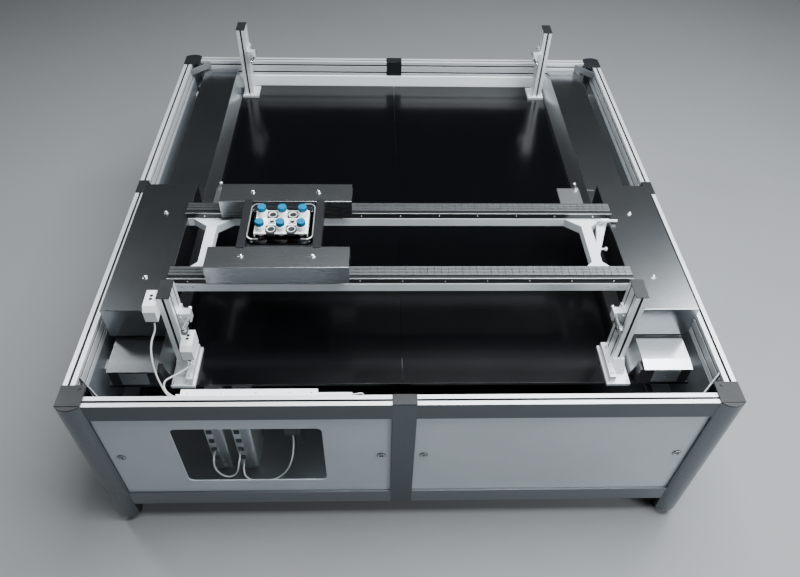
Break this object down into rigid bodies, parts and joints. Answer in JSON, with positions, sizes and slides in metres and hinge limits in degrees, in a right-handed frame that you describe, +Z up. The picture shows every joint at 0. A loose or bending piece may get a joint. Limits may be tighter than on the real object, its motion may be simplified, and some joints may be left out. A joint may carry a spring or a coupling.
{
  "type": "levitated planar gantry handling machine",
  "caption": "Table-high aluminium machine frame with a levitated cross bridge on two covered magnet tracks and a carriage that carries a tray of capped bottles.",
  "frame": {"origin": "on the floor, under the middle of the square frame", "axes": "+Z up, +X along the bridge to the right seen from the windowed front, +Y to the back along the tracks"},
  "size_m": [2.2, 2.2332, 1.02],
  "materials": {
    "frame_aluminium": "satin anodised",
    "post_aluminium": "satin anodised",
    "track_aluminium": "brushed",
    "cap_grey": "fine texture",
    "black_plastic": "fine texture",
    "panel_paint": "silver grey powder coat",
    "clear_pane": "clear polycarbonate",
    "lock_metal": "dark zinc",
    "base_black": "gloss black",
    "liner_grey": "satin",
    "stainless": "brushed stainless",
    "magnet_grey": "ground nickel",
    "cryostat_steel": "satin",
    "rail_black": "black anodised",
    "frame_white": "white powder coat",
    "screw_steel": "machined",
    "sensor_white": "moulded",
    "cable_pale": "smooth jacket",
    "lamp_white": "diffuser",
    "controller_aluminium": "cast and anodised",
    "tray_clear": "clear acrylic",
    "rack_white": "moulded",
    "bottle_white": "moulded",
    "cap_blue": "moulded"
  },
  "bodies": {
    "machine_frame": {"corner_leg_front_left": "frame_aluminium", "corner_leg_front_right": "frame_aluminium", "corner_leg_back_left": "frame_aluminium", "corner_leg_back_right": "frame_aluminium", "frame_caps": "cap_grey", "levelling_feet": "black_plastic", "top_rails_front": "frame_aluminium", "top_rails_back": "frame_aluminium", "top_rails_sides": "frame_aluminium", "bottom_rails": "frame_aluminium", "mid_posts": "frame_aluminium", "plate_supports": "frame_aluminium", "corner_brackets": "lock_metal", "front_window_panel": "panel_paint", "window_pane": "clear_pane", "front_plain_panel": "panel_paint", "side_panels": "panel_paint", "back_panels": "panel_paint", "base_plates": "base_black", "inner_liners": "liner_grey", "cabinet_floor": "stainless", "track_beams": "track_aluminium", "track_covers": "stainless", "track_magnets": "magnet_grey", "track_end_plates": "track_aluminium", "guide_posts_front": "post_aluminium", "guide_posts_back": "post_aluminium", "post_caps": "black_plastic", "post_feet": "track_aluminium", "stop_brackets": "rail_black", "stop_dampers": "screw_steel", "sensor_boxes": "sensor_white", "sensor_cable_upper": "cable_pale", "sensor_cable_lower": "cable_pale", "light_bar": "lamp_white", "controllers": "controller_aluminium", "controller_cables": "cable_pale"},
    "gantry": {"end_cover_left": "stainless", "end_cover_right": "stainless", "end_cryostats": "cryostat_steel", "end_cover_knobs": "screw_steel", "cross_rails": "rail_black", "stop_plates": "track_aluminium", "rail_magnets": "magnet_grey", "frame_tubes": "frame_white", "cross_members": "frame_white", "frame_brace": "frame_white"},
    "carriage": {"carriage_cover_back": "stainless", "carriage_cover_front": "stainless", "carriage_cryostats": "cryostat_steel", "carriage_screws": "screw_steel", "bridge_plate": "rail_black", "tray": "tray_clear"},
    "bottle_set": {"bottle_rack": "rack_white", "bottles": "bottle_white", "bottle_caps": "cap_blue"},
    "lock_1": {"panel_lock_1": "lock_metal"},
    "lock_2": {"panel_lock_2": "lock_metal"},
    "lock_3": {"panel_lock_3": "lock_metal"},
    "lock_4": {"panel_lock_4": "lock_metal"}
  },
  "joints": [
    {"name": "gantry_slide", "type": "slide", "parent": "machine_frame", "child": "gantry", "axis": [0, 1, 0], "range_m": [-0.05, 0.95]},
    {"name": "carriage_slide", "type": "slide", "parent": "gantry", "child": "carriage", "axis": [1, 0, 0], "range_m": [-0.125, 0.975]},
    {"name": "rack_lift", "type": "slide", "parent": "carriage", "child": "bottle_set", "axis": [0, 0, 1], "range_m": [0, 0.1]},
    {"name": "lock_turn_1", "type": "hinge", "parent": "machine_frame", "child": "lock_1", "pos_m": [-0.98, -1.092, 0.455], "axis": [0, 1, 0], "range_deg": [0, 90]},
    {"name": "lock_turn_2", "type": "hinge", "parent": "machine_frame", "child": "lock_2", "pos_m": [-0.075, -1.092, 0.455], "axis": [0, 1, 0], "range_deg": [0, 90]},
    {"name": "lock_turn_3", "type": "hinge", "parent": "machine_frame", "child": "lock_3", "pos_m": [0.075, -1.092, 0.455], "axis": [0, 1, 0], "range_deg": [0, 90]},
    {"name": "lock_turn_4", "type": "hinge", "parent": "machine_frame", "child": "lock_4", "pos_m": [0.98, -1.092, 0.455], "axis": [0, 1, 0], "range_deg": [0, 90]}
  ]
}
